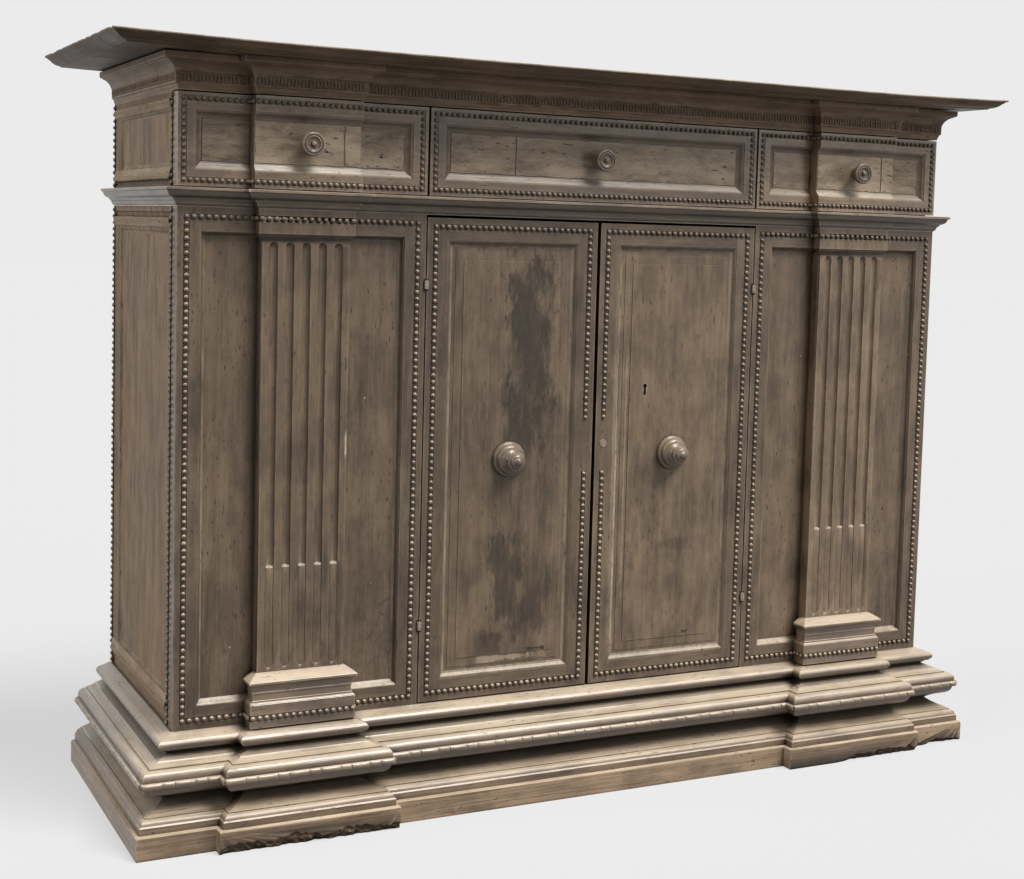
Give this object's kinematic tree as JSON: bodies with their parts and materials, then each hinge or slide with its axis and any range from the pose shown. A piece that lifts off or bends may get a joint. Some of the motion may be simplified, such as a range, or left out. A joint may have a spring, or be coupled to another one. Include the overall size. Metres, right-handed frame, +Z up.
{
  "type": "credenza",
  "caption": "Walnut credenza with beaded panelled doors and drawers, fluted piers, turned knobs and deep mouldings that break forward round the piers.",
  "frame": {"origin": "on the floor, at the middle of the footprint of the whole piece", "axes": "+X to the right as seen from the front, -Y towards the front, +Z up"},
  "size_m": [1.576, 0.527, 1.176],
  "materials": {
    "walnut": "aged wax",
    "worn_walnut": "aged wax, rubbed",
    "inner_wood": "bare, aged",
    "iron": "forged, dark"
  },
  "bodies": {
    "carcass": {"plinth": "walnut", "plinth_cap": "walnut", "base_torus": "walnut", "base_nosing": "walnut", "bottom_board": "inner_wood", "left_side_frame": "walnut", "left_side_panels": "walnut", "left_side_beading": "worn_walnut", "right_side_frame": "walnut", "right_side_panels": "walnut", "right_side_beading": "worn_walnut", "back_boards": "inner_wood", "left_bay_frame": "walnut", "left_bay_panel": "walnut", "left_bay_beading": "worn_walnut", "left_pilaster": "walnut", "left_pilaster_base": "walnut", "right_bay_frame": "walnut", "right_bay_panel": "walnut", "right_bay_beading": "worn_walnut", "right_pilaster": "walnut", "right_pilaster_base": "walnut", "string_course": "walnut", "drawer_deck": "inner_wood", "drawer_dividers": "inner_wood", "cornice": "walnut", "top_board": "walnut", "shelf": "inner_wood", "shelf_bearers": "inner_wood", "jamb_hinges": "iron"},
    "right_door": {"right_door_frame": "walnut", "right_door_panel": "walnut", "right_door_beading": "worn_walnut", "right_door_knob": "worn_walnut", "right_door_hinges": "iron", "door_lock": "iron"},
    "left_door": {"left_door_frame": "walnut", "left_door_panel": "walnut", "left_door_beading": "worn_walnut", "left_door_knob": "worn_walnut", "left_door_hinges": "iron", "lock_keeper": "iron", "bolt_staples": "iron"},
    "lock_bolt": {"lock_bolt": "iron"},
    "door_bolt": {"door_bolt": "iron"},
    "left_drawer": {"left_drawer_front": "walnut", "left_drawer_box": "inner_wood", "left_drawer_bottom": "inner_wood", "left_drawer_beading": "worn_walnut", "left_drawer_knob": "worn_walnut"},
    "middle_drawer": {"middle_drawer_front": "walnut", "middle_drawer_box": "inner_wood", "middle_drawer_bottom": "inner_wood", "middle_drawer_beading": "worn_walnut", "middle_drawer_knob": "worn_walnut"},
    "right_drawer": {"right_drawer_front": "walnut", "right_drawer_box": "inner_wood", "right_drawer_bottom": "inner_wood", "right_drawer_beading": "worn_walnut", "right_drawer_knob": "worn_walnut"}
  },
  "joints": [
    {"name": "left_door_swing", "type": "hinge", "parent": "carcass", "child": "left_door", "pos_m": [-0.289, -0.1725, 0.562], "axis": [0, 0, -1], "range_deg": [0, 110]},
    {"name": "right_door_swing", "type": "hinge", "parent": "carcass", "child": "right_door", "pos_m": [0.317, -0.1725, 0.562], "axis": [0, 0, 1], "range_deg": [0, 110]},
    {"name": "left_drawer_slide", "type": "slide", "parent": "carcass", "child": "left_drawer", "axis": [0, -1, 0], "range_m": [0, 0.3]},
    {"name": "middle_drawer_slide", "type": "slide", "parent": "carcass", "child": "middle_drawer", "axis": [0, -1, 0], "range_m": [0, 0.3]},
    {"name": "right_drawer_slide", "type": "slide", "parent": "carcass", "child": "right_drawer", "axis": [0, -1, 0], "range_m": [0, 0.3]},
    {"name": "lock_bolt_slide", "type": "slide", "parent": "right_door", "child": "lock_bolt", "axis": [-1, 0, 0], "range_m": [0, 0.024]},
    {"name": "door_bolt_slide", "type": "slide", "parent": "left_door", "child": "door_bolt", "axis": [0, 0, 1], "range_m": [0, 0.025]}
  ]
}
